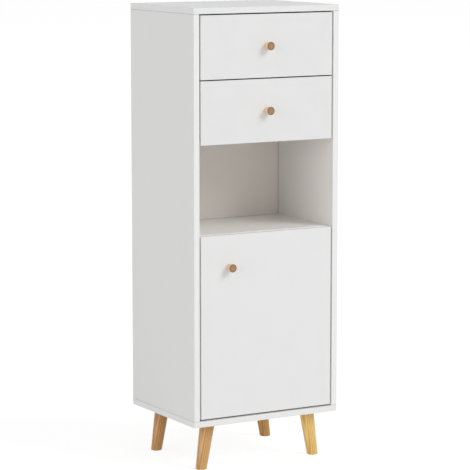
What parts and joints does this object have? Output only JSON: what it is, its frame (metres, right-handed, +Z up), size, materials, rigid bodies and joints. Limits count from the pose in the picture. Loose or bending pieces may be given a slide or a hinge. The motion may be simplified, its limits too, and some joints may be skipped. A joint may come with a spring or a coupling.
{
  "type": "highboard",
  "caption": "Tall narrow bathroom highboard with drawers over an open niche and a hinged door, on splayed tapered wooden legs with turned knobs.",
  "frame": {"origin": "on the floor, under the middle of the overall box", "axes": "+Z up, -Y out of the front, +X to the right as seen from the front"},
  "size_m": [0.4, 0.338, 1.113],
  "materials": {
    "white_melamine": "satin white melamine-faced particle board with matching edge banding",
    "back_board": "thin fibre board, lacquered white on the face",
    "leg_wood": "turned solid wood, clear satin lacquer",
    "knob_wood": "turned solid wood, clear satin lacquer, end grain outwards",
    "dowel_beech": "raw fluted beech",
    "runner_steel": "white epoxy powder coat",
    "roller_nylon": "white nylon",
    "hinge_steel": "nickel-plated pressed steel",
    "zinc_hardware": "bright zinc plate",
    "bumper_rubber": "soft translucent polyurethane"
  },
  "bodies": {
    "carcass": {"back_panel": "back_board", "bottom_panel": "white_melamine", "cabinet_runner_screws": "zinc_hardware", "cam_bolts": "zinc_hardware", "cam_locks": "zinc_hardware", "door_bumpers": "bumper_rubber", "dowels": "dowel_beech", "front_left_leg": "leg_wood", "front_right_leg": "leg_wood", "hinge_arm_screws": "zinc_hardware", "hinge_arms": "hinge_steel", "hinge_plate_screws": "zinc_hardware", "hinge_plates": "hinge_steel", "left_side_panel": "white_melamine", "leg_fittings": "zinc_hardware", "loose_shelf": "white_melamine", "lower_cabinet_runners": "runner_steel", "niche_back_panel": "white_melamine", "niche_ceiling_shelf": "white_melamine", "niche_floor_shelf": "white_melamine", "rear_left_leg": "leg_wood", "rear_right_leg": "leg_wood", "right_side_panel": "white_melamine", "shelf_pins": "zinc_hardware", "top_panel": "white_melamine", "upper_cabinet_runners": "runner_steel"},
    "upper_drawer": {"upper_drawer_back": "white_melamine", "upper_drawer_back_screws": "zinc_hardware", "upper_drawer_bottom": "back_board", "upper_drawer_cam_bolts": "zinc_hardware", "upper_drawer_cam_locks": "zinc_hardware", "upper_drawer_front": "white_melamine", "upper_drawer_knob": "knob_wood", "upper_drawer_knob_screw": "zinc_hardware", "upper_drawer_left_side": "white_melamine", "upper_drawer_right_side": "white_melamine", "upper_drawer_runner_screws": "zinc_hardware", "upper_drawer_runners": "runner_steel"},
    "lower_drawer": {"lower_drawer_back": "white_melamine", "lower_drawer_back_screws": "zinc_hardware", "lower_drawer_bottom": "back_board", "lower_drawer_cam_bolts": "zinc_hardware", "lower_drawer_cam_locks": "zinc_hardware", "lower_drawer_front": "white_melamine", "lower_drawer_knob": "knob_wood", "lower_drawer_knob_screw": "zinc_hardware", "lower_drawer_left_side": "white_melamine", "lower_drawer_right_side": "white_melamine", "lower_drawer_runner_screws": "zinc_hardware", "lower_drawer_runners": "runner_steel"},
    "door": {"door_knob": "knob_wood", "door_knob_screw": "zinc_hardware", "door_panel": "white_melamine", "hinge_cup_screws": "zinc_hardware", "hinge_cups": "hinge_steel", "hinge_links": "hinge_steel"},
    "upper_front_rollers": {"upper_front_rollers": "roller_nylon"},
    "upper_rear_rollers": {"upper_rear_rollers": "roller_nylon"},
    "lower_front_rollers": {"lower_front_rollers": "roller_nylon"},
    "lower_rear_rollers": {"lower_rear_rollers": "roller_nylon"}
  },
  "joints": [
    {"name": "upper_drawer_slide", "type": "slide", "parent": "carcass", "child": "upper_drawer", "axis": [0, -1, 0], "range_m": [0, 0.2]},
    {"name": "upper_front_rollers_turn", "type": "hinge", "parent": "carcass", "child": "upper_front_rollers", "pos_m": [0, -0.124, 0.983], "axis": [1, 0, 0], "range_deg": [0, 1230]},
    {"name": "upper_rear_rollers_turn", "type": "hinge", "parent": "upper_drawer", "child": "upper_rear_rollers", "pos_m": [0, 0.097, 0.9807], "axis": [1, 0, 0], "range_deg": [0, 1230]},
    {"name": "lower_drawer_slide", "type": "slide", "parent": "carcass", "child": "lower_drawer", "axis": [0, -1, 0], "range_m": [0, 0.2]},
    {"name": "lower_front_rollers_turn", "type": "hinge", "parent": "carcass", "child": "lower_front_rollers", "pos_m": [0, -0.124, 0.829], "axis": [1, 0, 0], "range_deg": [0, 1230]},
    {"name": "lower_rear_rollers_turn", "type": "hinge", "parent": "lower_drawer", "child": "lower_rear_rollers", "pos_m": [0, 0.097, 0.8267], "axis": [1, 0, 0], "range_deg": [0, 1230]},
    {"name": "door_swing", "type": "hinge", "parent": "carcass", "child": "door", "pos_m": [0.178, -0.149, 0.3505], "axis": [0, 0, 1], "range_deg": [0, 95]}
  ],
  "couplings": [
    {"joint": "upper_front_rollers_turn", "follows": "upper_drawer_slide", "rad_per_m": 106.38},
    {"joint": "upper_rear_rollers_turn", "follows": "upper_drawer_slide", "rad_per_m": 106.38},
    {"joint": "lower_front_rollers_turn", "follows": "lower_drawer_slide", "rad_per_m": 106.38},
    {"joint": "lower_rear_rollers_turn", "follows": "lower_drawer_slide", "rad_per_m": 106.38}
  ]
}
